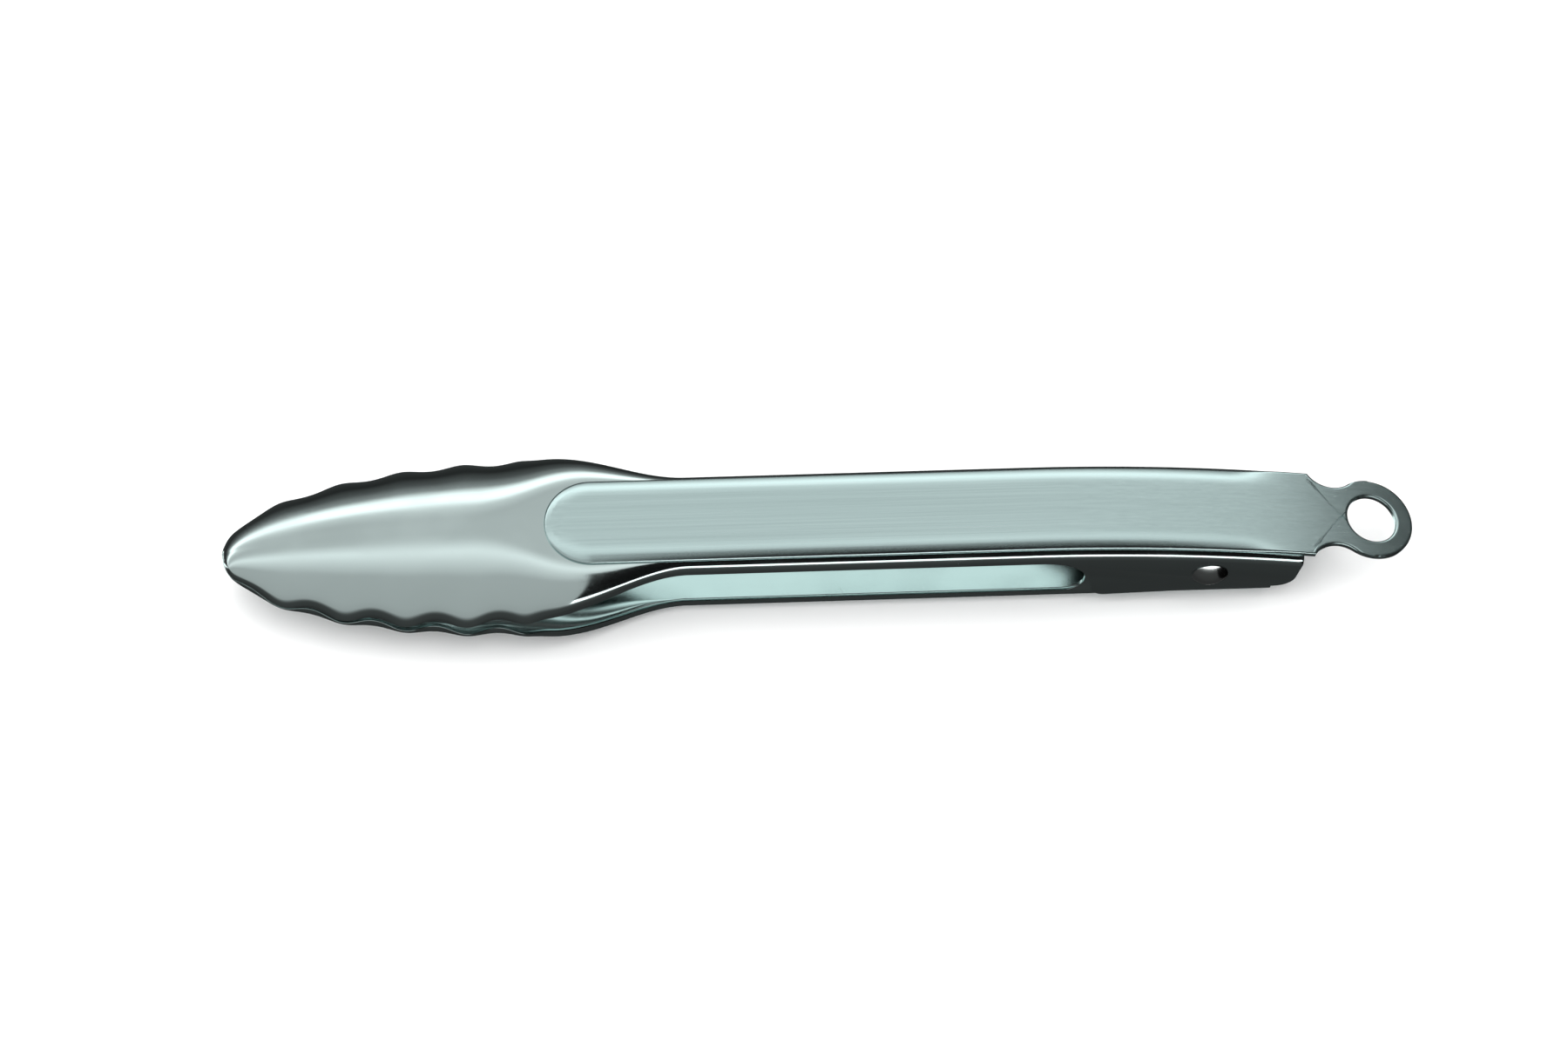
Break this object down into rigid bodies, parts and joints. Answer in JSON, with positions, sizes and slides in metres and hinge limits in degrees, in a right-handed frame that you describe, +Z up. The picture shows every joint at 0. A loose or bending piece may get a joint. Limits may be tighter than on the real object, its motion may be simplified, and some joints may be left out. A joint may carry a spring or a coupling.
{
  "type": "spring loaded kitchen tongs",
  "caption": "Stainless kitchen tongs with scalloped spoon heads, channel arms, brushed handle plates, a sprung riveted hinge, a sliding lock and a hanging ring.",
  "frame": {"origin": "middle of the bounding box's base: the tongs lie closed on the flat rear handle plate, at Z = 0", "axes": "+X from the tips of the heads to the hanging ring, +Z up through the closed arms, from the rear arm to the front arm, Y across"},
  "size_m": [0.3, 0.0464, 0.0262],
  "materials": {
    "polished_steel": "mirror-polished stainless steel",
    "brushed_steel": "stainless steel brushed along its length",
    "rivet_steel": "turned and polished stainless steel",
    "spring_steel": "drawn stainless spring steel"
  },
  "bodies": {
    "rear": {"rear_arm": "polished_steel", "rear_handle_plate": "brushed_steel", "torsion_spring": "spring_steel"},
    "front": {"front_arm": "polished_steel", "front_handle_plate": "brushed_steel", "hinge_rivet": "rivet_steel", "pivot_sleeve": "spring_steel", "lock_catch": "spring_steel"},
    "roller": {"lock_roller": "spring_steel"}
  },
  "joints": [
    {"name": "arm_hinge", "type": "hinge", "parent": "rear", "child": "front", "pos_m": [0.0971, 0, 0.0131], "axis": [0, 1, 0], "range_deg": [0, 28], "stiffness_Nm_per_rad": 1.2, "springref_deg": 42.97, "deforming": ["torsion_spring"]},
    {"name": "lock_slide", "type": "slide", "parent": "rear", "child": "roller", "axis": [1, 0, 0], "range_m": [0, 0.007]}
  ]
}
